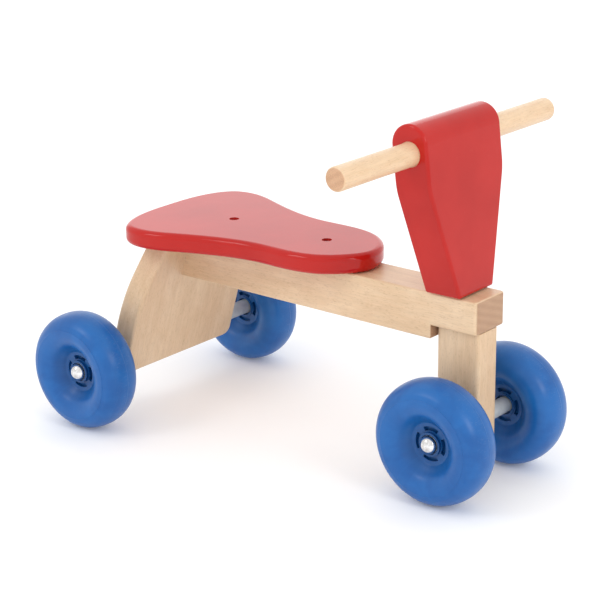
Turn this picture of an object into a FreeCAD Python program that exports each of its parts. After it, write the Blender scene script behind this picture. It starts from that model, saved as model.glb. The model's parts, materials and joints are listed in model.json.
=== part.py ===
"""Children's wooden ride-on with four wheels: beam, seat, rear board, steering head, leg and wheels.

Frame: +X forward, +Y to the rider's left, +Z up. The origin lies on the floor, midway between the
two axles and on the centre plane. Every length is in millimetres.
"""

import FreeCAD, Part
import math
import os

Vec = FreeCAD.Vector
X = Vec(1, 0, 0)
Y = Vec(0, 1, 0)
Z = Vec(0, 0, 1)

# ---- driving dimensions -------------------------------------------------------------------------

WHEEL_D = 125.0          # wheel diameter
WHEEL_HALF_W = 23.6      # half the width of the balloon tyre
WHEELBASE = 402.0        # front axle to rear axle
FRONT_TRACK = 125.0      # between the middle planes of the front wheels
REAR_TRACK = 262.0       # between the middle planes of the rear wheels
BEAM_W = 48.0
BEAM_H = 47.0
BEAM_TOP = 194.0         # height of the seat's underside
SEAT_T = 20.0
HANDLEBAR_Z = 337.0
HANDLEBAR_L = 340.0
HANDLEBAR_D = 23.0
AXLE_D = 8.0
ROD_D = 10.0             # steering rod

# ---- places and fits derived from them ----------------------------------------------------------

WHEEL_R = WHEEL_D / 2
AXLE_R = AXLE_D / 2
ROD_R = ROD_D / 2
AXLE_Z = WHEEL_R
FRONT_X = WHEELBASE / 2
REAR_X = -WHEELBASE / 2
RUN = 0.05               # radial clearance of a running or glued fit
GAP = 0.3                # side clearance between turning faces
FAR = 400.0              # longer than anything it cuts

STEER_X = FRONT_X - 13.0             # steering axis, just behind the front axle
BEAM_FRONT = FRONT_X + 18.3
BEAM_BOTTOM = BEAM_TOP - BEAM_H
STEP_Z = BEAM_BOTTOM + 13.8          # ceiling of the step cut under the beam's front end
LEG_W = 33.0
LEG_REAR = STEER_X - 19.0
LEG_FRONT = BEAM_FRONT - 1.8
LEG_EDGE = 4.0                       # rounding of the leg's upright corners
LEG_BOTTOM = AXLE_Z - 21.0
LEG_TOP = STEP_Z - 0.9
STEER_STOP = 2.2                     # space between the leg's back and the step's shoulder
STEP_X = LEG_REAR - STEER_STOP

PANEL_T = 26.0
PANEL_TILT = 16.6                    # degrees, top forward
PANEL_BOTTOM = 43.5                  # height of the front lower edge
PANEL_FRONT = REAR_X + 11.4          # x of the front lower edge

HEAD_T = 40.0
HEAD_RAKE = 6.7                      # degrees, top backward
HEAD_BOTTOM = BEAM_TOP + 1.2
HEAD_TOP = 365.0
HEAD_TOP_W = 121.0
HEAD_BOTTOM_W = 56.0
HEAD_BEND_Z = 303.0                  # above this height the sides are parallel
HEAD_BEND_R = 60.0                   # radius of the bend between taper and parallel sides
HEAD_FOOT_X = STEER_X - 4.3          # middle of the board where it meets the beam

SEAT_SCREW_X = (-103.0, 21.0)
PANEL_SCREW_S = (122.0, 144.0)       # distance up the board

BUSH_R = 7.0
FLANGE_R = 10.0
FLANGE_T = 1.4
BUSH_L = 15.0
WASHER_T = 1.5           # the washers are let into the head and into the leg
UPPER_WASHER_TOP = BEAM_TOP + GAP + WASHER_T
LOWER_WASHER_TOP = STEP_Z - GAP

HUB_OUT = 8.0                        # wheel middle to the seat of the outer washer
HUB_IN = 3.5                         # wheel middle to the inner end of the hub
HUB_RING = 2.0                       # height of the ring round the washer
WASHER_THIN = 1.2
AXLE_CHAMFER = 0.6
AXLE_IN_CAP = 4.5        # how far the axle's end reaches into its cap
AXLE_END = HUB_OUT + GAP + WASHER_THIN + AXLE_IN_CAP     # beyond the wheel's middle
CAP_R = 8.8
CAP_H = 8.6
CAP_RIM = 3.4            # height of the cap's straight rim
SPACER_R = 8.0


# ---- small helpers ------------------------------------------------------------------------------

def rod(radius, length, start, direction):
    """Plain cylinder."""
    return Part.makeCylinder(radius, length, start, direction)


def block(low, high):
    """Box between two opposite corners."""
    size = high - low
    return Part.makeBox(size.x, size.y, size.z, low)


def edges_where(shape, test):
    """Edges whose middle point and direction pass the test."""
    found = []
    for edge in shape.Edges:
        middle = edge.valueAt((edge.FirstParameter + edge.LastParameter) / 2)
        if test(edge, middle):
            found.append(edge)
    return found


def runs_along(edge, axis):
    """True for a straight edge parallel to the axis."""
    if edge.Curve.TypeId != "Part::GeomLine":
        return False
    return abs(edge.tangentAt(edge.FirstParameter).dot(axis)) > 0.999


def revolved(edges, centre, axis):
    """Solid of revolution from a closed loop of edges."""
    face = Part.Face(Part.Wire(edges))
    return Part.Solid(face.revolve(centre, axis, 360))


def polyline(points):
    """Straight edges through the points in order."""
    return [Part.LineSegment(a, b).toShape() for a, b in zip(points, points[1:])]


def spline(points, start_tangent, end_tangent):
    """Smooth open edge through the points."""
    curve = Part.BSplineCurve()
    curve.interpolate(Points=points, InitialTangent=start_tangent, FinalTangent=end_tangent)
    return curve.toShape()


def closed_spline(points):
    """Smooth closed edge through the points."""
    curve = Part.BSplineCurve()
    curve.interpolate(Points=points, PeriodicFlag=True)
    return curve.toShape()


def export(node, shapes):
    """Write one node as its own STEP file."""
    if not isinstance(shapes, list):
        shapes = [shapes]
    solids = [solid for shape in shapes for solid in shape.Solids]
    for solid in solids:
        if not solid.isValid():
            raise ValueError(node + " is not a valid solid")
    result = solids[0] if len(solids) == 1 else Part.makeCompound(solids)
    result.exportStep(os.path.join("parts", node + ".step"))


# ---- screws -------------------------------------------------------------------------------------

SCREW_HEAD_R = 4.6
SCREW_SHANK_R = 2.2
SCREW_SINK = 3.2         # depth of the countersunk head
SCREW_TIP_R = 0.4
SCREW_TIP_L = 2 * SCREW_SHANK_R
SINK_R = 5.2             # bore that a sunk head went down
RECESS_W = 1.3           # width of one arm of the cross recess
RECESS_D = 1.6
RECESS_REACH = 0.55      # arm of the cross, as a share of the head's radius


def screw_body(length, grow):
    """Countersunk head with its face at the origin, shank and tip along -Z, all thicker by grow."""
    head = Part.makeCone(SCREW_SHANK_R + grow, SCREW_HEAD_R + grow, SCREW_SINK, Vec(0, 0, -SCREW_SINK), Z)
    shank = rod(SCREW_SHANK_R + grow, length - SCREW_SINK + grow, Vec(0, 0, -length - grow), Z)
    tip_end = Vec(0, 0, -length - SCREW_TIP_L - grow)
    tip = Part.makeCone(SCREW_TIP_R + grow, SCREW_SHANK_R + grow, SCREW_TIP_L, tip_end, Z)
    return head.fuse([shank, tip]).removeSplitter()


def wood_screw(length):
    """Countersunk cross-head screw."""
    screw = screw_body(length, 0)
    arm = SCREW_HEAD_R * RECESS_REACH
    for angle in (0, 90):
        slot = block(Vec(-arm, -RECESS_W / 2, -RECESS_D), Vec(arm, RECESS_W / 2, 1))
        slot.rotate(Vec(), Z, angle)
        screw = screw.cut(slot)
    return screw


def screw_hole(length, sink_above):
    """Clearance for the screw and, above it, the sunk bore its head went down."""
    return screw_body(length, RUN).fuse(rod(SINK_R, sink_above, Vec(), Z))


def placed(shape, point, axis):
    """Copy of a shape made along +Z, moved to a point and turned onto an axis."""
    copy = shape.copy()
    copy.Placement = FreeCAD.Placement(point, FreeCAD.Rotation(Z, axis))
    return copy


# ---- seat ---------------------------------------------------------------------------------------

SEAT_TOP = BEAM_TOP + SEAT_T
SEAT_TOP_EDGE = 6.0      # roundings of its upper and lower edges
SEAT_LOW_EDGE = 6.0
SEAT_SCREW_L = 46.0
SEAT_SCREW_DEPTH = 2.6   # screw heads lie this far below the seat's face
SEAT_HALF = [            # x, half width: narrow in front, broad behind
    (83.0, 0.0),
    (72.0, 28.0),
    (47.0, 49.0),
    (12.0, 56.5),
    (-28.0, 56.5),
    (-72.0, 65.0),
    (-112.0, 80.0),
    (-150.0, 91.5),
    (-177.0, 85.5),
    (-193.0, 62.0),
    (-200.5, 0.0),
]


def seat_screw_points():
    return [Vec(x, 0, SEAT_TOP - SEAT_SCREW_DEPTH) for x in SEAT_SCREW_X]


def make_seat():
    left = [Vec(x, half, BEAM_TOP) for x, half in SEAT_HALF]
    right = [Vec(x, -half, BEAM_TOP) for x, half in reversed(SEAT_HALF[1:-1])]
    outline = Part.Wire(closed_spline(left + right))
    board = Part.Face(outline).extrude(Z * SEAT_T)
    top = edges_where(board, lambda e, m: abs(m.z - SEAT_TOP) < 0.01)
    board = board.makeFillet(SEAT_TOP_EDGE, top)
    bottom = edges_where(board, lambda e, m: abs(m.z - BEAM_TOP) < 0.01)
    board = board.makeFillet(SEAT_LOW_EDGE, bottom)
    for point in seat_screw_points():
        board = board.cut(placed(screw_hole(SEAT_SCREW_L, SEAT_SCREW_DEPTH + 1), point, Z))
    return board


# ---- rear board ---------------------------------------------------------------------------------

PANEL_EDGE = 3.5         # rounding of the board's long edges
PANEL_SIDE = 84.0        # half width of the straight lower sides
PANEL_CORNER = 10.0      # radius of the lower corners
PANEL_STRAIGHT = 50.0    # the sides are straight up to this distance from the foot
PANEL_FLARE = [          # half width, distance up the board, from the straight side to the top
    (83.0, 70.0),
    (78.0, 97.0),
    (70.0, 119.0),
    (60.0, 142.0),
    (50.0, 166.0),
]
PANEL_SCREW_L = 62.0


def tilted(shape):
    """Take a shape from the board's own frame (board upright, front face at x=0) to its place."""
    shape.rotate(Vec(), Y, PANEL_TILT)
    shape.translate(Vec(PANEL_FRONT, 0, PANEL_BOTTOM))
    return shape


def make_panel_blank():
    """Tilted board with soft edges, its top still too long."""
    low = PANEL_CORNER
    high = PANEL_STRAIGHT
    half = [Vec(0, PANEL_SIDE, high)] + [Vec(0, y, s) for y, s in PANEL_FLARE]
    end_tangent = half[-1] - half[-2]
    left = spline(half, Z * (half[1] - half[0]).Length, end_tangent)
    right = left.mirror(Vec(), Y)
    turn = PANEL_CORNER * (1 - math.sqrt(0.5))
    corners = []
    for side in (1, -1):
        corners.append(
            Part.Arc(
                Vec(0, side * PANEL_SIDE, low),
                Vec(0, side * (PANEL_SIDE - turn), turn),
                Vec(0, side * (PANEL_SIDE - PANEL_CORNER), 0),
            ).toShape()
        )
    lines = []
    for side in (1, -1):
        lines += polyline([Vec(0, side * PANEL_SIDE, low), Vec(0, side * PANEL_SIDE, high)])
    lines += polyline([Vec(0, PANEL_SIDE - PANEL_CORNER, 0), Vec(0, PANEL_CORNER - PANEL_SIDE, 0)])
    top_y, top_s = PANEL_FLARE[-1]
    lines += polyline([Vec(0, top_y, top_s), Vec(0, -top_y, top_s)])
    outline = Part.Wire(Part.__sortEdges__([left, right] + corners + lines))
    board = Part.Face(outline).extrude(X * -PANEL_T)
    rim = edges_where(board, lambda e, m: m.z < top_s - 0.01 and not runs_along(e, X))
    return tilted(board.makeFillet(PANEL_EDGE, rim))


def panel_screw_places():
    """Head position and shank direction of the screws driven in from the board's back."""
    back = FreeCAD.Rotation(Y, PANEL_TILT).multVec(-X)
    places = []
    for s in PANEL_SCREW_S:
        point = FreeCAD.Rotation(Y, PANEL_TILT).multVec(Vec(-PANEL_T, 0, s))
        point += Vec(PANEL_FRONT, 0, PANEL_BOTTOM)
        places.append((point, back))
    return places


def make_panel(blank):
    board = blank.cut(block(Vec(-FAR, -FAR, BEAM_TOP), Vec(FAR, FAR, FAR)))
    board = board.cut(rod(AXLE_R + RUN, FAR, Vec(REAR_X, -FAR / 2, AXLE_Z), Y))
    for point, axis in panel_screw_places():
        board = board.cut(placed(screw_hole(PANEL_SCREW_L, 1), point, axis))
    return board


# ---- beam ---------------------------------------------------------------------------------------

BEAM_NOSE = 4.0          # rounding of the upright front edges
BEAM_EDGE = 2.0          # rounding of the long edges


def make_beam():
    """Square timber with a step under its front end and a slanting end against the rear board."""
    half = BEAM_W / 2
    side = [
        Vec(REAR_X, -half, BEAM_TOP),
        Vec(BEAM_FRONT, -half, BEAM_TOP),
        Vec(BEAM_FRONT, -half, STEP_Z),
        Vec(STEP_X, -half, STEP_Z),
        Vec(STEP_X, -half, BEAM_BOTTOM),
        Vec(REAR_X, -half, BEAM_BOTTOM),
        Vec(REAR_X, -half, BEAM_TOP),
    ]
    beam = Part.Face(Part.Wire(polyline(side))).extrude(Y * BEAM_W)
    nose = edges_where(beam, lambda e, m: runs_along(e, Z) and m.x > BEAM_FRONT - 1)
    beam = beam.makeFillet(BEAM_NOSE, nose)

    def is_arris(edge, middle):
        inner_corner = abs(middle.x - STEP_X) < 0.1 and abs(middle.z - STEP_Z) < 0.1
        shoulder_side = runs_along(edge, Z) and abs(middle.x - STEP_X) < 0.1
        at_rear = middle.x < REAR_X + 0.1
        upright_nose = runs_along(edge, Z) and middle.x > STEP_X + 1
        return not (inner_corner or shoulder_side or at_rear or upright_nose)

    beam = beam.makeFillet(BEAM_EDGE, edges_where(beam, is_arris))
    wedge = tilted(block(Vec(-FAR, -FAR, -FAR), Vec(0, FAR, FAR)))
    beam = beam.cut(wedge)
    cuts = [rod(BUSH_R + RUN, BEAM_H, Vec(STEER_X, 0, BEAM_BOTTOM), Z)]
    cuts.append(rod(FLANGE_R + RUN, FLANGE_T + RUN + 1, Vec(STEER_X, 0, BEAM_TOP - FLANGE_T - RUN), Z))
    cuts.append(rod(FLANGE_R + RUN, FLANGE_T + RUN, Vec(STEER_X, 0, STEP_Z), Z))
    for point in seat_screw_points():
        cuts.append(placed(screw_hole(SEAT_SCREW_L, 1), point, Z))
    for point, axis in panel_screw_places():
        cuts.append(placed(screw_hole(PANEL_SCREW_L, 1), point, axis))
    for cut in cuts:
        beam = beam.cut(cut)
    return beam


# ---- steering head, handlebar and leg -----------------------------------------------------------

ROD_CHAMFER = 1.0
ROD_BOTTOM = 112.0
ROD_TOP = 240.0
PIN_R = 2.0
PIN_Z = (136.0, 222.0)               # cross pins that hold the rod in the leg and in the head
PIN_DEPTH = 1.0
PIN_REACH = 10.0                     # how far a pin goes past the rod's axis
HANDLEBAR_X = HEAD_FOOT_X - math.tan(math.radians(HEAD_RAKE)) * (HANDLEBAR_Z - BEAM_TOP)
HANDLEBAR_SCREW_L = 30.0
HANDLEBAR_SCREW_DEPTH = 0.3          # its head lies this far below the head's back face
HANDLEBAR_SEAT_R = HANDLEBAR_D / 2 + 0.6    # thicker where it is pressed into the head
HANDLEBAR_END = 2.5                  # rounding of the stick's ends
HEAD_EDGE = 3.0                      # rounding of the head's edges
LEG_FOOT_EDGE = 1.5
LEG_TOP_EDGE = 0.8


def head_axes():
    """Directions out of the back of the raked board and up along it."""
    turn = FreeCAD.Rotation(Y, -HEAD_RAKE)
    return turn.multVec(-X), turn.multVec(Z)


def head_back_point(z):
    """Point on the back face of the head, on the centre plane, at about height z."""
    back, up = head_axes()
    middle = Vec(HEAD_FOOT_X, 0, BEAM_TOP) + up * ((z - BEAM_TOP) / up.z)
    return middle + back * (HEAD_T / 2)


def make_head():
    """Raked board with a fully rounded top, tapering towards the beam."""
    slope = math.cos(math.radians(HEAD_RAKE))
    nose = HEAD_T / 2
    # heights along the board, measured from its middle at the beam's top
    crown = (HEAD_TOP - BEAM_TOP - nose * (1 - slope)) / slope
    bend = (HEAD_BEND_Z - BEAM_TOP) / slope
    below = -HEAD_T / 2
    top_half = HEAD_TOP_W / 2
    foot_half = HEAD_BOTTOM_W / 2
    taper = (top_half - foot_half) / bend

    straight = polyline([Vec(nose, 0, crown - nose), Vec(nose, 0, below), Vec(-nose, 0, below)])
    straight += polyline([Vec(-nose, 0, below), Vec(-nose, 0, crown - nose)])
    arch = Part.Arc(Vec(-nose, 0, crown - nose), Vec(0, 0, crown), Vec(nose, 0, crown - nose)).toShape()
    side = Part.Face(Part.Wire(straight + [arch]))
    side.translate(Vec(0, -HEAD_TOP_W, 0))
    side = side.extrude(Y * 2 * HEAD_TOP_W)

    low_half = foot_half + taper * below
    corners = [Vec(0, top_half, crown + 1), Vec(0, top_half, bend), Vec(0, low_half, below)]
    front = corners + [Vec(0, -point.y, point.z) for point in reversed(corners)]
    front = Part.Face(Part.Wire(polyline(front + front[:1])))
    front.translate(Vec(-HEAD_T, 0, 0))
    front = front.extrude(X * 2 * HEAD_T)
    waist = edges_where(front, lambda e, m: runs_along(e, X) and abs(m.z - bend) < 0.1)
    front = front.makeFillet(HEAD_BEND_R, waist)

    head = side.common(front)
    head.rotate(Vec(), Y, -HEAD_RAKE)
    head.translate(Vec(HEAD_FOOT_X, 0, BEAM_TOP))
    head = head.cut(block(Vec(-FAR, -FAR, -FAR), Vec(FAR, FAR, HEAD_BOTTOM)))
    sides = edges_where(head, lambda e, m: not runs_along(e, Y) or m.z < HEAD_BOTTOM + 0.1)
    head = head.makeFillet(HEAD_EDGE, sides)

    cuts = [rod(HANDLEBAR_SEAT_R + RUN, FAR, Vec(HANDLEBAR_X, -FAR / 2, HANDLEBAR_Z), Y)]
    cuts.append(rod(ROD_R + RUN, ROD_TOP - BEAM_TOP + RUN, Vec(STEER_X, 0, BEAM_TOP), Z))
    cuts.append(rod(FLANGE_R + RUN, UPPER_WASHER_TOP - BEAM_TOP, Vec(STEER_X, 0, BEAM_TOP), Z))
    back, _ = head_axes()
    cuts.append(placed(screw_hole(HANDLEBAR_SCREW_L, 1), handlebar_screw_point(), back))
    cuts.append(pin_hole(PIN_Z[1]))
    for cut in cuts:
        head = head.cut(cut)
    return head


def handlebar_screw_point():
    return head_back_point(HANDLEBAR_Z) - head_axes()[0] * HANDLEBAR_SCREW_DEPTH


def make_handlebar():
    """Round stick with softly rounded ends, shouldered where it is pressed into the head."""
    bar = rod(HANDLEBAR_D / 2, HANDLEBAR_L, Vec(HANDLEBAR_X, -HANDLEBAR_L / 2, HANDLEBAR_Z), Y)
    ends = edges_where(bar, lambda e, m: not runs_along(e, Y))
    bar = bar.makeFillet(HANDLEBAR_END, ends)
    seat_half = HEAD_TOP_W / 2 + GAP
    bar = bar.fuse(rod(HANDLEBAR_SEAT_R, 2 * seat_half, Vec(HANDLEBAR_X, -seat_half, HANDLEBAR_Z), Y))
    return bar.cut(placed(screw_hole(HANDLEBAR_SCREW_L, 1), handlebar_screw_point(), head_axes()[0]))


def pin_start(z):
    """The pins are driven in from behind, just below the surface, and end a little past the rod."""
    surface = LEG_REAR if z < BEAM_BOTTOM else head_back_point(z).x
    return surface + PIN_DEPTH


def pin_shape(z):
    start = pin_start(z)
    return rod(PIN_R, STEER_X + PIN_REACH - start, Vec(start, 0, z), X)


def pin_hole(z):
    """Bore open to the back."""
    start = pin_start(z) - 2 * PIN_DEPTH
    return rod(PIN_R + RUN, STEER_X + PIN_REACH + RUN - start, Vec(start, 0, z), X)


def make_rod():
    shaft = rod(ROD_R, ROD_TOP - ROD_BOTTOM, Vec(STEER_X, 0, ROD_BOTTOM), Z)
    ends = edges_where(shaft, lambda e, m: not runs_along(e, Z))
    shaft = shaft.makeChamfer(ROD_CHAMFER, ends)
    for z in PIN_Z:
        shaft = shaft.cut(pin_hole(z))
    return shaft


def make_leg():
    half = LEG_W / 2
    leg = block(Vec(LEG_REAR, -half, LEG_BOTTOM), Vec(LEG_FRONT, half, LEG_TOP))
    leg = leg.makeFillet(LEG_EDGE, edges_where(leg, lambda e, m: runs_along(e, Z)))
    leg = leg.makeFillet(LEG_FOOT_EDGE, edges_where(leg, lambda e, m: abs(m.z - LEG_BOTTOM) < 0.1))
    leg = leg.makeFillet(LEG_TOP_EDGE, edges_where(leg, lambda e, m: abs(m.z - LEG_TOP) < 0.1))
    cuts = [rod(ROD_R + RUN, FAR, Vec(STEER_X, 0, ROD_BOTTOM - RUN), Z)]
    cuts.append(rod(FLANGE_R + RUN, FAR, Vec(STEER_X, 0, LOWER_WASHER_TOP - WASHER_T), Z))
    cuts.append(rod(AXLE_R + RUN, FAR, Vec(FRONT_X, -FAR / 2, AXLE_Z), Y))
    cuts.append(pin_hole(PIN_Z[0]))
    for cut in cuts:
        leg = leg.cut(cut)
    return leg


# ---- steering bearing ---------------------------------------------------------------------------

def make_bushes():
    """Two flanged bushes, flush in the top and in the step of the beam."""
    bushes = []
    for flange_z, direction in ((BEAM_TOP, -Z), (STEP_Z, Z)):
        start = Vec(STEER_X, 0, flange_z)
        bush = rod(FLANGE_R, FLANGE_T, start, direction).fuse(rod(BUSH_R, BUSH_L, start, direction))
        bushes.append(bush.cut(rod(ROD_R + RUN, BUSH_L, start, direction)).removeSplitter())
    return bushes


def make_steering_washers():
    """One washer under the head, one on the leg."""
    washers = []
    for top in (UPPER_WASHER_TOP, LOWER_WASHER_TOP):
        start = Vec(STEER_X, 0, top - WASHER_T)
        washers.append(rod(FLANGE_R, WASHER_T, start, Z).cut(rod(ROD_R + RUN, WASHER_T, start, Z)))
    return washers


# ---- wheels and axles ---------------------------------------------------------------------------

TYRE_MIDDLE = 44.0       # radius at which the tyre is widest
TYRE_POWER = 2.2         # 2 is an ellipse, more is squarer
FACE = [                 # radius, distance from the wheel's middle: dished face and recess
    (37.5, 22.2),
    (31.0, 18.3),
    (26.5, 13.0),
    (22.5, 8.8),
    (18.5, 7.0),
]
FLOOR = 7.0              # floor of the recess, same distance on both sides
BOSS_R = 12.0
BOSS_BORE = 10.0
SLOT_R = 15.4
SLOT_W = 4.2
SLOT_SPAN = 60.0         # degrees
SLOT_DEPTH = 4.0
SLOTS = 4
WALL = 3.0               # moulded wall of the hollow tyre
VOID_LOW = 30.0          # radius of the hollow's inner side
VOID_HALF_W = WHEEL_HALF_W - 3 * WALL
TREAD_POINTS = 16


def tyre_curve(grow):
    """Half of a superellipse over the tread, from one widest point to the other."""
    points = []
    reach = WHEEL_R - TYRE_MIDDLE + grow
    for i in range(TREAD_POINTS + 1):
        angle = math.pi * (i / TREAD_POINTS - 0.5)
        across = math.copysign(abs(math.sin(angle)) ** (2 / TYRE_POWER), angle)
        up = abs(math.cos(angle)) ** (2 / TYRE_POWER)
        points.append(Vec(TYRE_MIDDLE + reach * up, (WHEEL_HALF_W + grow) * across, 0))
    return points


def make_wheel_blank():
    """Hollow moulded wheel about the Y axis through the origin, its outer side towards +Y."""
    tread = spline(tyre_curve(0), X, -X)
    outer_face = [Vec(TYRE_MIDDLE, WHEEL_HALF_W, 0)] + [Vec(r, y, 0) for r, y in FACE]
    inner_face = [Vec(point.x, -point.y, 0) for point in outer_face]
    bore = AXLE_R + RUN
    outer = [
        Vec(FACE[-1][0], FLOOR, 0),
        Vec(BOSS_R, FLOOR, 0),
        Vec(BOSS_R, HUB_OUT + HUB_RING, 0),
        Vec(BOSS_BORE, HUB_OUT + HUB_RING, 0),
        Vec(BOSS_BORE, HUB_OUT, 0),
        Vec(bore, HUB_OUT, 0),
        Vec(bore, -HUB_IN, 0),
        Vec(BOSS_BORE, -HUB_IN, 0),
        Vec(BOSS_BORE, -FLOOR - HUB_RING / 2, 0),
        Vec(BOSS_R, -FLOOR - HUB_RING / 2, 0),
        Vec(BOSS_R, -FLOOR, 0),
        Vec(FACE[-1][0], -FLOOR, 0),
    ]
    loop = [tread, spline(outer_face, -X, -X), spline(inner_face, -X, -X)] + polyline(outer)
    wheel = revolved(Part.__sortEdges__(loop), Vec(), Y)
    wheel = wheel.cut(tyre_void())
    for i in range(SLOTS):
        for side in (1, -1):
            wheel = wheel.cut(arc_slot(i * 360 / SLOTS, side))
    return wheel


def tyre_void():
    """The hollow inside the tyre."""
    points = tyre_curve(-WALL)
    side = [points[-1], Vec(VOID_LOW, VOID_HALF_W, 0), Vec(VOID_LOW, -VOID_HALF_W, 0), points[0]]
    edges = [spline(points, X, -X)] + polyline(side)
    return revolved(Part.__sortEdges__(edges), Vec(), Y)


def arc_slot(middle, side):
    """Curved pocket in the floor of the recess."""
    start = Vec(0, side * FLOOR, 0)
    depth = Y * (-side * SLOT_DEPTH)
    half = SLOT_SPAN / 2
    inner = SLOT_R - SLOT_W / 2
    outer = SLOT_R + SLOT_W / 2

    def at(radius, angle):
        turn = math.radians(angle)
        return start + Vec(radius * math.cos(turn), 0, radius * math.sin(turn))

    a0 = middle - half
    a1 = middle + half
    edges = [
        Part.Arc(at(inner, a0), at(inner, middle), at(inner, a1)).toShape(),
        Part.Arc(at(outer, a0), at(outer, middle), at(outer, a1)).toShape(),
    ]
    edges += polyline([at(inner, a0), at(outer, a0)])
    edges += polyline([at(inner, a1), at(outer, a1)])
    pocket = Part.Face(Part.Wire(Part.__sortEdges__(edges))).extrude(depth)
    return pocket.fuse(pocket.translated(-depth / 4)).removeSplitter()


def make_cap():
    """Domed push-on cap on the +Y end of an axle whose wheel is centred on the origin."""
    base = HUB_OUT + GAP + WASHER_THIN
    straight = CAP_RIM
    rise = CAP_H - straight
    ball_r = (CAP_R**2 + rise**2) / (2 * rise)
    half_angle = math.asin(CAP_R / ball_r) / 2
    centre_y = base + CAP_H - ball_r
    top = Part.Arc(
        Vec(CAP_R, base + straight, 0),
        Vec(ball_r * math.sin(half_angle), centre_y + ball_r * math.cos(half_angle), 0),
        Vec(0, base + CAP_H, 0),
    ).toShape()
    outside = polyline([
        Vec(0, base + CAP_H, 0),
        Vec(0, base, 0),
        Vec(CAP_R, base, 0),
        Vec(CAP_R, base + straight, 0),
    ])
    dome = revolved(Part.__sortEdges__([top] + outside), Vec(), Y)
    return dome.cut(rod(AXLE_R + RUN, AXLE_END + RUN, Vec(), Y))


def make_outer_washer():
    start = Vec(0, HUB_OUT + GAP, 0)
    ring = rod(CAP_R, WASHER_THIN, start, Y)
    return ring.cut(rod(AXLE_R + RUN, WASHER_THIN, start, Y))


def make_spacer(length):
    """Tube between the timber and the wheel, ending at the wheel's hub."""
    start = Vec(0, -HUB_IN - GAP, 0)
    tube = rod(SPACER_R, length, start, -Y)
    return tube.cut(rod(AXLE_R + RUN, length, start, -Y))


def make_axle(x, track):
    half = track / 2 + AXLE_END
    axle = rod(AXLE_R, 2 * half, Vec(x, -half, AXLE_Z), Y)
    ends = edges_where(axle, lambda e, m: not runs_along(e, Y))
    return axle.makeChamfer(AXLE_CHAMFER, ends)


def export_wheel_set(end, x, track, timber_half):
    """One axle with its wheels, caps, washers and spacers. The two sides are mirror images."""
    spacer_length = track / 2 - HUB_IN - GAP - timber_half - RUN
    pieces = {
        "wheel": make_wheel_blank(),
        "axle_cap": make_cap(),
        "washer": make_outer_washer(),
        "spacer": make_spacer(spacer_length),
    }
    for side, sign in (("left", 1), ("right", -1)):
        for name, shape in pieces.items():
            piece = shape.copy() if sign > 0 else shape.mirror(Vec(), Y)
            piece.translate(Vec(x, sign * track / 2, AXLE_Z))
            export(name + "_" + end + "_" + side, piece)
    export("axle_" + end, make_axle(x, track))


def main():
    os.makedirs("parts", exist_ok=True)
    panel_blank = make_panel_blank()
    export("main_beam", make_beam())
    export("rear_board", make_panel(panel_blank))
    export("seat_board", make_seat())
    export("seat_screws", [placed(wood_screw(SEAT_SCREW_L), p, Z) for p in seat_screw_points()])
    export("rear_board_screws", [placed(wood_screw(PANEL_SCREW_L), p, a) for p, a in panel_screw_places()])
    export("steering_head", make_head())
    export("handlebar", make_handlebar())
    screw = placed(wood_screw(HANDLEBAR_SCREW_L), handlebar_screw_point(), head_axes()[0])
    export("handlebar_screw", screw)
    export("steering_rod", make_rod())
    export("steering_rod_pins", [pin_shape(z) for z in PIN_Z])
    export("steering_bushes", make_bushes())
    export("steering_washers", make_steering_washers())
    export("front_leg", make_leg())
    export_wheel_set("front", FRONT_X, FRONT_TRACK, LEG_W / 2)
    export_wheel_set("rear", REAR_X, REAR_TRACK, PANEL_SIDE)


main()
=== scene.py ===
"""Looks of the children's wooden ride-on: lacquered beech, red gloss lacquer, blue moulded wheels."""
import json
import math

import bpy
from mathutils import Matrix, Vector


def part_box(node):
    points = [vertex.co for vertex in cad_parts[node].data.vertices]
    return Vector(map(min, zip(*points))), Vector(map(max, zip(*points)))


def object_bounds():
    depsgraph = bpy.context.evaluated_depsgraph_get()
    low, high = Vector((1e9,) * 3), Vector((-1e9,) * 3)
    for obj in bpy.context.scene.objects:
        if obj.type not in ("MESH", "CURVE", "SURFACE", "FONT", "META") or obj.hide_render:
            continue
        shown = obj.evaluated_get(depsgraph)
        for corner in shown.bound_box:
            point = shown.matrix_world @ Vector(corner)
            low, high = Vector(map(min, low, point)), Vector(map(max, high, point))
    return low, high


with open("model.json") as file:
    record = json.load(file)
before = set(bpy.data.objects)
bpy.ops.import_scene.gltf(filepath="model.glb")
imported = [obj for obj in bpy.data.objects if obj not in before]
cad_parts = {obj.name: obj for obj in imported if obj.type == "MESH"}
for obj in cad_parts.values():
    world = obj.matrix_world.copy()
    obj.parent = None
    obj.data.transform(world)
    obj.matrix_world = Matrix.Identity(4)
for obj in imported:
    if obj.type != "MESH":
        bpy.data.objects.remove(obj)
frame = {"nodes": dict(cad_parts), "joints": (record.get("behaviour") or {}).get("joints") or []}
cad_low, cad_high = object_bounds()

MM = 0.001


# ---- node helpers ------------------------------------------------------------------------------

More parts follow.
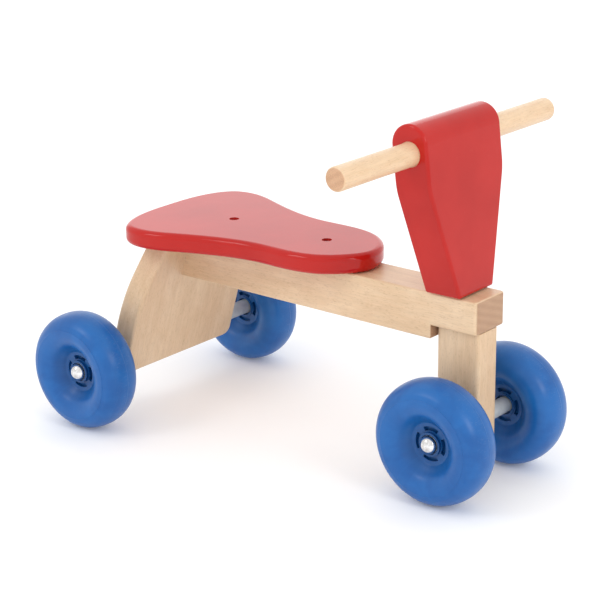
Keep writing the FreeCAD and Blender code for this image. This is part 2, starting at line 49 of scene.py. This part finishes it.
class Graph:
    """Short way of writing a node material round one Principled shader."""

    def __init__(self, name):
        self.material = bpy.data.materials.new(name)
        self.material.use_nodes = True
        self.tree = self.material.node_tree
        self.tree.nodes.clear()
        self.shader = self.add("ShaderNodeBsdfPrincipled")
        output = self.add("ShaderNodeOutputMaterial")
        self.link(self.shader.outputs["BSDF"], output.inputs["Surface"])

    def add(self, kind, inputs=None, **settings):
        node = self.tree.nodes.new(kind)
        for key, value in settings.items():
            setattr(node, key, value)
        for key, value in (inputs or {}).items():
            self.feed(node.inputs[key], value)
        return node

    def feed(self, socket, value):
        """Link a socket or set a constant."""
        if isinstance(value, bpy.types.NodeSocket):
            self.link(value, socket)
        else:
            socket.default_value = value

    def link(self, source, target):
        self.tree.links.new(source, target)

    def surface(self, **values):
        """Feed the shader: base_color=... goes to its "Base Color", and so on."""
        for key, value in values.items():
            self.feed(self.shader.inputs[key.replace("_", " ").title()], value)

    def coords(self, kind="Object"):
        return self.add("ShaderNodeTexCoord").outputs[kind]

    def moved(self, vector, location):
        return self.stretched(vector, (1, 1, 1), location)

    def stretched(self, vector, scale, location=(0, 0, 0)):
        node = self.add("ShaderNodeMapping", {"Vector": vector, "Scale": scale, "Location": location})
        return node.outputs["Vector"]

    def noise(self, vector, scale, detail=3.0, roughness=0.5, distortion=0.0):
        inputs = {
            "Vector": vector,
            "Scale": scale,
            "Detail": detail,
            "Roughness": roughness,
            "Distortion": distortion,
        }
        return self.add("ShaderNodeTexNoise", inputs).outputs["Fac"]

    def ramp(self, value, stops):
        """Colour ramp: stops are (position, colour or grey)."""
        node = self.add("ShaderNodeValToRGB", {"Fac": value})
        elements = node.color_ramp.elements
        while len(elements) < len(stops):
            elements.new(0.5)
        for element, (position, colour) in zip(elements, stops):
            element.position = position
            if isinstance(colour, (int, float)):
                colour = (colour, colour, colour)
            element.color = (*colour, 1.0)
        return node.outputs["Color"]

    def remap(self, value, low, high, to_low=0.0, to_high=1.0):
        inputs = {"Value": value, "From Min": low, "From Max": high, "To Min": to_low, "To Max": to_high}
        return self.add("ShaderNodeMapRange", inputs).outputs["Result"]

    def math(self, operation, a, b=0.0):
        node = self.add("ShaderNodeMath", operation=operation)
        self.feed(node.inputs[0], a)
        self.feed(node.inputs[1], b)
        return node.outputs["Value"]

    def times(self, a, b):
        return self.math("MULTIPLY", a, b)

    def mix(self, factor, a, b, blend="MIX"):
        node = self.add("ShaderNodeMix", data_type="RGBA", blend_type=blend)
        colour_a, colour_b = (s for s in node.inputs if s.name in "AB" and s.type == "RGBA")
        self.feed(node.inputs["Factor"], factor)
        for socket, value in ((colour_a, a), (colour_b, b)):
            if isinstance(value, tuple) and len(value) == 3:
                value = (*value, 1.0)
            self.feed(socket, value)
        return next(s for s in node.outputs if s.type == "RGBA")

    def shaded(self, colour, by):
        """Colour multiplied by another colour, or by one grey for the whole piece."""
        if isinstance(by, float):
            by = (by, by, by)
        return self.mix(1.0, colour, by, "MULTIPLY")

    def bump(self, height, distance, strength=1.0, below=None):
        inputs = {"Height": height, "Distance": distance, "Strength": strength}
        if below is not None:
            inputs["Normal"] = below
        return self.add("ShaderNodeBump", inputs).outputs["Normal"]


def put_on(node, material):
    """Give a CAD node its detailed material in the slots it already has."""
    for slot in frame["nodes"][node].material_slots:
        slot.material = material


def shift(steps, seed):
    """Offset into the noise, so that no two pieces share one pattern."""
    return tuple(seed * step for step in steps)


# a noise value is near 0.5 nearly everywhere: this stretch of it is spread over the whole range
NOISE_LOW = 0.3
NOISE_HIGH = 0.7


# ---- beech -------------------------------------------------------------------------------------

BEECH_LIGHT = (0.805, 0.600, 0.400)
BEECH_MIDDLE = (0.740, 0.525, 0.330)
BEECH_DARK = (0.665, 0.445, 0.260)
BEECH_END = (0.45, 0.255, 0.145)
BEECH_END_PALE = (0.53, 0.315, 0.185)
BEECH_FLECK = (0.36, 0.195, 0.095)
BEECH_SHIFT = (0.37, 0.53, 0.71)

# how often each feature repeats in a metre: along the grain, then twice across it
FIGURE = (4, 22, 22)
GRAIN_LINES = (7, 150, 150)
BLOTCHES = (24, 55, 55)
FIBRES = (60, 1100, 1100)
RAY_FLECKS = (260, 1250, 1250)
END_WOBBLE = (0, 60, 60)
END_PORES = (0, 1900, 1900)

FIGURE_SHARE = 0.40
LINES_SHARE = 0.25
BLOTCH_SHARE = 0.35
FLECK_STRENGTH = 0.26
GRAIN_DEPTH = 0.12 * MM
FLECK_DEPTH = 0.06 * MM

PITH = (0.0, -0.16, 0.11)          # moves the centre of the year rings outside the timber
YEAR_RINGS = {"Scale": 42.0, "Distortion": 0.8, "Detail": 2.0, "Detail Scale": 2.0}
RING_SHARE = 0.3
END_STARTS = 0.72                  # how squarely a face crosses the grain before it looks like an end
END_IS_FULL = 0.95
END_ROUGHER = 0.12


def side_grain(g, place, lines, fibres, flecks):
    """Colour of a face along the grain: soft figure, fine dark lines and short ray flecks."""
    figure = g.noise(g.stretched(place, FIGURE), 1.0, detail=3, roughness=0.55, distortion=0.8)
    blotch = g.noise(g.stretched(place, BLOTCHES), 1.0, detail=4, roughness=0.6, distortion=0.6)
    drawn = g.math("ADD", g.times(figure, FIGURE_SHARE), g.times(lines, LINES_SHARE))
    tone = g.math("ADD", drawn, g.times(blotch, BLOTCH_SHARE))
    colour = g.ramp(tone, [(0.36, BEECH_DARK), (0.50, BEECH_MIDDLE), (0.62, BEECH_LIGHT)])
    colour = g.shaded(colour, g.ramp(fibres, [(0.38, 0.93), (0.60, 1.0)]))
    is_fleck = g.ramp(flecks, [(0.62, 0.0), (0.70, 1.0)])
    return g.mix(g.times(is_fleck, FLECK_STRENGTH), colour, BEECH_FLECK)


def end_grain(g, place):
    """Colour of a sawn end: curved year rings about a pith outside the timber, and dark pores."""
    flat = g.stretched(place, (0.0, 1.0, 1.0), PITH)
    wave = g.add(
        "ShaderNodeTexWave",
        {"Vector": flat, **YEAR_RINGS},
        wave_type="RINGS",
        rings_direction="X",
        wave_profile="SIN",
    )
    wobble = g.noise(g.stretched(place, END_WOBBLE), 1.0, detail=2)
    pores = g.noise(g.stretched(place, END_PORES), 1.0, detail=2, roughness=0.6)
    tone = g.math("ADD", g.times(wave.outputs["Fac"], RING_SHARE), g.times(wobble, 1 - RING_SHARE))
    colour = g.ramp(tone, [(0.25, BEECH_END), (0.75, BEECH_END_PALE)])
    return g.shaded(colour, g.ramp(pores, [(0.42, 0.72), (0.55, 1.0)]))


def beech(name, along, seed, tone=1.0, end_painted_highlight=1.0):
    """Clear-lacquered beech: fine straight grain along one axis, ray flecks, darker ringed ends."""
    g = Graph(name)
    axis = Vector(along).normalized()
    turn = axis.rotation_difference(Vector((1, 0, 0))).to_euler()
    inputs = {"Vector": g.coords(), "Rotation": tuple(turn), "Location": shift(BEECH_SHIFT, seed)}
    place = g.add("ShaderNodeMapping", inputs).outputs["Vector"]
    lines = g.noise(g.stretched(place, GRAIN_LINES), 1.0, detail=4, roughness=0.60, distortion=0.4)
    fibres = g.noise(g.stretched(place, FIBRES), 1.0, detail=2, roughness=0.6)
    flecks = g.noise(g.stretched(place, RAY_FLECKS), 1.0, detail=1, roughness=0.4)

    facing = g.add("ShaderNodeVectorMath", {0: g.coords("Normal"), 1: tuple(axis)}, operation="DOT_PRODUCT")
    is_end = g.remap(g.math("ABSOLUTE", facing.outputs["Value"]), END_STARTS, END_IS_FULL)
    # painted highlight: a factor above 1 lightens the sawn ends, as on the handlebar
    ends = g.shaded(end_grain(g, place), end_painted_highlight)
    colour = g.mix(is_end, side_grain(g, place, lines, fibres, flecks), ends)
    rough = g.remap(lines, NOISE_LOW, NOISE_HIGH, 0.36, 0.50)
    relief = g.math("ADD", g.times(lines, 0.5), fibres)
    grain = g.bump(relief, GRAIN_DEPTH, strength=0.35)
    g.surface(
        base_color=g.shaded(colour, tone),
        roughness=g.math("ADD", rough, g.times(is_end, END_ROUGHER)),
        normal=g.bump(flecks, FLECK_DEPTH, strength=0.25, below=grain),
        coat_weight=0.22,
        coat_roughness=0.24,
        subsurface_weight=0.05,
        subsurface_radius=(4 * MM, 2 * MM, 1 * MM),
    )
    return g.material


# ---- red lacquer -------------------------------------------------------------------------------

RED = (0.505, 0.016, 0.012)
RED_DEEP = (0.430, 0.010, 0.007)
RED_WORN = (0.60, 0.07, 0.05)
RED_SHIFT = (0.31, 0.47, 0.59)
WEAR_STRENGTH = 0.25
LACQUER_RELIEF = 0.10 * MM
GRAIN_UNDER_LACQUER = (18, 420)    # repeats in a metre, along the grain and across it


def red_lacquer(name, along, seed):
    """Opaque gloss lacquer over wood: slight orange peel, grain just showing through."""
    g = Graph(name)
    place = g.moved(g.coords(), shift(RED_SHIFT, seed))
    cloud = g.noise(place, 14, detail=3, roughness=0.55)
    smear = g.noise(place, 55, detail=4, roughness=0.65)
    wear = g.ramp(g.noise(place, 120, detail=4, roughness=0.7), [(0.66, 0.0), (0.80, 1.0)])
    peel = g.bump(g.noise(place, 260, detail=2, roughness=0.5), LACQUER_RELIEF, strength=0.10)
    lengthwise, crosswise = GRAIN_UNDER_LACQUER
    grain_scale = tuple(lengthwise if part else crosswise for part in along)
    grain = g.noise(g.stretched(place, grain_scale), 1.0, detail=3, roughness=0.6)
    colour = g.mix(g.remap(cloud, NOISE_LOW, NOISE_HIGH), RED_DEEP, RED)
    g.surface(
        base_color=g.mix(g.times(wear, WEAR_STRENGTH), colour, RED_WORN),
        roughness=g.remap(smear, NOISE_LOW, NOISE_HIGH, 0.38, 0.50),
        normal=g.bump(grain, LACQUER_RELIEF, strength=0.12, below=peel),
        coat_weight=1.0,
        coat_roughness=g.remap(smear, NOISE_LOW, NOISE_HIGH, 0.05, 0.11),
        coat_normal=peel,
    )
    g.shader.inputs["Specular IOR Level"].default_value = 0.0
    g.shader.inputs["Coat IOR"].default_value = 1.36
    return g.material


# ---- blue plastic ------------------------------------------------------------------------------

BLUE = (0.006, 0.120, 0.400)
BLUE_DEEP = (0.003, 0.090, 0.330)
BLUE_PALE = (0.020, 0.165, 0.480)
DUST = (0.16, 0.26, 0.42)
BLUE_SHIFT = (0.41, 0.61, 0.83)

# parts of the wheel's radius
TREAD_STARTS = 0.92
TREAD_IS_FULL = 0.9952
RECESS_DEEPEST = 0.192
RECESS_ENDS = 0.496

RECESS_PAINTED_SHADE = 0.58                 # painted shade: the base colour is darkened in the recess round the hub
SCUFFS = (900, 160, 900)           # repeats in a metre: the marks run across the tread
SCUFF_STRENGTH = 0.22
SCUFF_ROUGHER = 0.8
FLOW_AROUND = 3.0                  # flow marks per radian, and per metre outwards
FLOW_OUTWARD = 26.0
FLOW_STRENGTH = 0.16
SEAM_HALF_W = 0.45 * MM
SEAM_H = 0.25 * MM
MOULD_GRAIN_DEPTH = 0.05 * MM


def flow_marks(g, along_x, along_z, radius):
    """Faint swirls where the plastic flowed out from the hub."""
    around = g.times(g.math("ARCTAN2", along_z, along_x), FLOW_AROUND)
    outward = g.times(radius, FLOW_OUTWARD)
    place = g.add("ShaderNodeCombineXYZ", {"X": around, "Y": outward}).outputs["Vector"]
    flow = g.noise(place, 2.2, detail=3, roughness=0.6, distortion=0.5)
    return g.times(g.remap(flow, 0.45, 0.75), FLOW_STRENGTH)


def tread_scuffs(g, place, radius, wheel_r):
    """Floor dust and scuffing, on the tread only."""
    tread = g.remap(radius, TREAD_STARTS * wheel_r, TREAD_IS_FULL * wheel_r)
    rubbed = g.noise(g.stretched(place, SCUFFS), 1.0, detail=3, roughness=0.7)
    marks = g.ramp(rubbed, [(0.56, 0.0), (0.70, 1.0)])
    return g.times(g.times(marks, tread), SCUFF_STRENGTH)


def blue_plastic(name, centre, wheel_r, seed):
    """Moulded plastic wheel: faint flow marks round the hub, fine moulded grain, a parting line, and
    painted shade in the recess round the hub.
    """
    g = Graph(name)
    local = g.moved(g.coords(), tuple(-part for part in centre))
    place = g.moved(local, shift(BLUE_SHIFT, seed))
    parts = g.add("ShaderNodeSeparateXYZ", {"Vector": local}).outputs
    rolled = g.add("ShaderNodeCombineXYZ", {"X": parts["X"], "Z": parts["Z"]}).outputs["Vector"]
    radius = g.add("ShaderNodeVectorMath", {0: rolled}, operation="LENGTH").outputs["Value"]

    cloud = g.noise(place, 26, detail=3, roughness=0.55, distortion=0.6)
    colour = g.mix(g.remap(cloud, 0.35, 0.65), BLUE_DEEP, BLUE)
    colour = g.mix(flow_marks(g, parts["X"], parts["Z"], radius), colour, BLUE_PALE)
    scuffs = tread_scuffs(g, place, radius, wheel_r)
    colour = g.mix(scuffs, colour, DUST)
    # painted shade: the colour is darkened inside the recess round the hub, darkest near the hub
    tone = g.remap(radius, RECESS_DEEPEST * wheel_r, RECESS_ENDS * wheel_r, RECESS_PAINTED_SHADE, 1.0)
    grey = g.add("ShaderNodeCombineColor", {"Red": tone, "Green": tone, "Blue": tone}).outputs["Color"]

    rough = g.remap(g.noise(place, 90, detail=4, roughness=0.6), NOISE_LOW, NOISE_HIGH, 0.30, 0.38)
    grain = g.bump(g.noise(place, 900, detail=2, roughness=0.5), MOULD_GRAIN_DEPTH, strength=0.10)
    seam = g.remap(g.math("ABSOLUTE", parts["Y"]), 0.0, SEAM_HALF_W, 1.0, 0.0)
    g.surface(
        base_color=g.shaded(colour, grey),
        roughness=g.math("ADD", rough, g.times(scuffs, SCUFF_ROUGHER)),
        normal=g.bump(seam, SEAM_H, strength=0.7, below=grain),
    )
    g.shader.inputs["Specular IOR Level"].default_value = 0.42
    return g.material


# ---- metals and nylon --------------------------------------------------------------------------

CHROME_DULL_AND_REFLECTION = (0.58, 0.56, 0.54)
CHROME_BRIGHT = (0.90, 0.90, 0.92)
ZINC_DARK = (0.52, 0.53, 0.55)
ZINC_LIGHT = (0.68, 0.69, 0.70)
NYLON_DARK = (0.50, 0.53, 0.54)
NYLON_LIGHT = (0.62, 0.64, 0.64)
DRAWING_MARKS = (60, 2400)         # repeats in a metre, along the rod and across it


def chrome(name, centre):
    """Pressed chrome cap: bright, with a fine grain and a few darker spots, partly dulled metal and partly
    a painted dark reflection.
    """
    g = Graph(name)
    local = g.moved(g.coords(), tuple(-part for part in centre))
    # darker spots in the base colour: partly dulled metal, partly a painted dark reflection
    dull_and_reflection = g.noise(local, 210, detail=3, roughness=0.6)
    g.surface(
        base_color=g.mix(g.remap(dull_and_reflection, 0.35, 0.7), CHROME_DULL_AND_REFLECTION, CHROME_BRIGHT),
        roughness=g.remap(dull_and_reflection, 0.3, 0.75, 0.07, 0.17),
        metallic=1.0,
        normal=g.bump(g.noise(local, 2600, detail=2), 0.03 * MM, strength=0.12),
    )
    return g.material


def zinc(name, along):
    """Zinc-plated steel with drawing marks along its length."""
    g = Graph(name)
    lengthwise, crosswise = DRAWING_MARKS
    scale = tuple(lengthwise if part else crosswise for part in along)
    marks = g.noise(g.stretched(g.coords(), scale), 1.0, detail=3, roughness=0.6)
    cloud = g.noise(g.coords(), 160, detail=3, roughness=0.6)
    g.surface(
        base_color=g.mix(g.remap(cloud, NOISE_LOW, NOISE_HIGH), ZINC_DARK, ZINC_LIGHT),
        roughness=g.remap(marks, NOISE_LOW, NOISE_HIGH, 0.24, 0.42),
        metallic=1.0,
        normal=g.bump(marks, 0.04 * MM, strength=0.25),
    )
    return g.material


def nylon(name):
    """Pale grey nylon, a little translucent, with fine saw marks on it."""
    g = Graph(name)
    place = g.coords()
    cloud = g.noise(place, 130, detail=3, roughness=0.55)
    g.surface(
        base_color=g.mix(g.remap(cloud, NOISE_LOW, NOISE_HIGH), NYLON_DARK, NYLON_LIGHT),
        roughness=g.remap(cloud, NOISE_LOW, NOISE_HIGH, 0.38, 0.52),
        normal=g.bump(g.noise(place, 1800, detail=2), 0.06 * MM, strength=0.2),
        subsurface_weight=0.12,
        subsurface_radius=(2 * MM, 2 * MM, 2 * MM),
    )
    return g.material


# ---- dress the CAD nodes -----------------------------------------------------------------------

FORWARD = (1, 0, 0)
SIDEWAYS = (0, 1, 0)
UPWARD = (0, 0, 1)
BOARD_LEAN = math.radians(16.6)    # the rear board leans forward at its top


def dress_timber():
    up_the_board = (math.sin(BOARD_LEAN), 0, math.cos(BOARD_LEAN))
    put_on("main_beam", beech("beech_beam", FORWARD, 1))
    # painted shade: the rear board is toned down a little for the shade under the seat
    put_on("rear_board", beech("beech_rear_board", up_the_board, 2, tone=0.94))
    put_on("front_leg", beech("beech_leg", UPWARD, 3, tone=0.98))
    # painted highlight: the handlebar's sawn ends are lightened by 1.3
    put_on("handlebar", beech("beech_handlebar", SIDEWAYS, 4, tone=1.05, end_painted_highlight=1.3))
    put_on("seat_board", red_lacquer("red_seat", FORWARD, 5))
    put_on("steering_head", red_lacquer("red_head", UPWARD, 6))


def dress_wheels():
    joints = [joint for joint in frame["joints"] if joint["name"].endswith("_wheel_spin")]
    for seed, joint in enumerate(joints):
        end, side = joint["name"].split("_")[:2]
        suffix = end + "_" + side
        wheel_low, wheel_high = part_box("wheel_" + suffix)
        wheel_r = (wheel_high[2] - wheel_low[2]) / 2
        put_on("wheel_" + suffix, blue_plastic("blue_wheel_" + suffix, joint["pos_m"], wheel_r, seed))
        low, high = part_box("axle_cap_" + suffix)
        middle = [(a + b) / 2 for a, b in zip(low, high)]
        put_on("axle_cap_" + suffix, chrome("chrome_" + suffix, middle))


def dress_fittings():
    pale = nylon("pale_nylon")
    crosswise = zinc("zinc_across", SIDEWAYS)
    upright = zinc("zinc_upright", UPWARD)
    lengthwise = zinc("zinc_along", FORWARD)
    for node in frame["nodes"]:
        if node.startswith(("spacer_", "washer_", "steering_bushes", "steering_washers")):
            put_on(node, pale)
    for node in ("axle_front", "axle_rear"):
        put_on(node, crosswise)
    for node in ("steering_rod", "seat_screws"):
        put_on(node, upright)
    for node in ("steering_rod_pins", "rear_board_screws", "handlebar_screw"):
        put_on(node, lengthwise)


# ---- floor, light and camera -------------------------------------------------------------------

WHITE = (1.0, 1.0, 1.0, 1.0)
FLOOR_REACH = 12.0
FLOOR_BELOW = 0.2 * MM             # keeps the floor clear of the wheels
FLOOR_GLOW = 0.08                  # the floor glows faintly, so the shadows stay soft
FLOOR_GREY = (0.94, 0.94, 0.94)
FLOOR_WHITE = (0.96, 0.96, 0.96)


def make_floor():
    """Plain pale studio floor."""
    place = (0, 0, cad_low.z - FLOOR_BELOW)
    bpy.ops.mesh.primitive_plane_add(size=2 * FLOOR_REACH, location=place)
    floor = bpy.context.object
    floor.name = "studio_floor"
    g = Graph("pale_floor")
    cloud = g.noise(g.coords(), 3.0, detail=3)
    g.surface(
        base_color=g.mix(cloud, FLOOR_GREY, FLOOR_WHITE),
        roughness=g.remap(cloud, NOISE_LOW, NOISE_HIGH, 0.72, 0.8),
        normal=g.bump(g.noise(g.coords(), 420, detail=2), 0.2 * MM, strength=0.05),
        emission_color=WHITE,
        emission_strength=FLOOR_GLOW,
    )
    floor.data.materials.append(g.material)


SKY_GLOW = 1.06
LIGHT_TARGET = Vector((0, 0, 0.15))

# lamp: place in metres, width and height in metres, glow
LAMPS = {
    "front_window": ((2.3, -0.5, 1.5), (0.9, 0.9), 3.9),
    "left_lamp": ((-1.0, -1.9, 2.0), (0.8, 0.8), 3.9),
    "back_sweep": ((-1.9, 2.3, 1.1), (3.6, 1.8), 0.47),
}


def soft_box(name, place, size, glow):
    """Rectangular lamp of an even glow, aimed at the middle of the ride-on."""
    lamp = bpy.data.lights.new(name, "AREA")
    lamp.shape = "RECTANGLE"
    lamp.size, lamp.size_y = size
    lamp.energy = math.pi * size[0] * size[1] * glow
    holder = bpy.data.objects.new(name, lamp)
    holder.location = place
    holder.rotation_mode = "QUATERNION"
    holder.rotation_quaternion = (LIGHT_TARGET - Vector(place)).to_track_quat("-Z", "Y")
    bpy.context.collection.objects.link(holder)


def make_lights():
    """White surroundings, a window ahead, a lamp at the view's left and a pale sweep behind."""
    world = bpy.data.worlds.new("studio")
    world.use_nodes = True
    background = world.node_tree.nodes["Background"]
    background.inputs["Color"].default_value = WHITE
    background.inputs["Strength"].default_value = SKY_GLOW
    bpy.context.scene.world = world
    for name, (place, size, glow) in LAMPS.items():
        soft_box(name, place, size, glow)


# the view: turned about Z, raised above the floor and rolled, looking at a point near the beam
VIEW_AZIMUTH = 39.68
VIEW_ELEVATION = 18.88
VIEW_ROLL = -0.73
VIEW_TARGET = Vector((-0.0146, -0.0005, 0.1427))
VIEW_DISTANCE = 1.9116
VIEW_LENS = 111.47                 # mm, on a sensor of the width below
SENSOR_W = 36.0
NEAREST = 0.05
FARTHEST = 60.0


def make_camera():
    azimuth, elevation, roll = (math.radians(a) for a in (VIEW_AZIMUTH, VIEW_ELEVATION, VIEW_ROLL))
    flat = math.cos(elevation)
    back = Vector((math.sin(azimuth) * flat, -math.cos(azimuth) * flat, math.sin(elevation)))
    level = Vector((math.cos(azimuth), math.sin(azimuth), 0))
    right = level * math.cos(roll) + back.cross(level) * math.sin(roll)
    up = back.cross(right)
    camera = bpy.data.objects.new("camera", bpy.data.cameras.new("camera"))
    camera.data.sensor_width = SENSOR_W
    camera.data.lens = VIEW_LENS
    camera.data.clip_start = NEAREST
    camera.data.clip_end = FARTHEST
    place = VIEW_TARGET + back * VIEW_DISTANCE
    camera.matrix_world = Matrix.Translation(place) @ Matrix((right, up, back)).transposed().to_4x4()
    bpy.context.collection.objects.link(camera)
    bpy.context.scene.camera = camera


def main():
    dress_timber()
    dress_wheels()
    dress_fittings()
    make_floor()
    make_lights()
    make_camera()
    bpy.context.scene.view_settings.view_transform = "Standard"
    bpy.context.scene.view_settings.look = "None"


main()
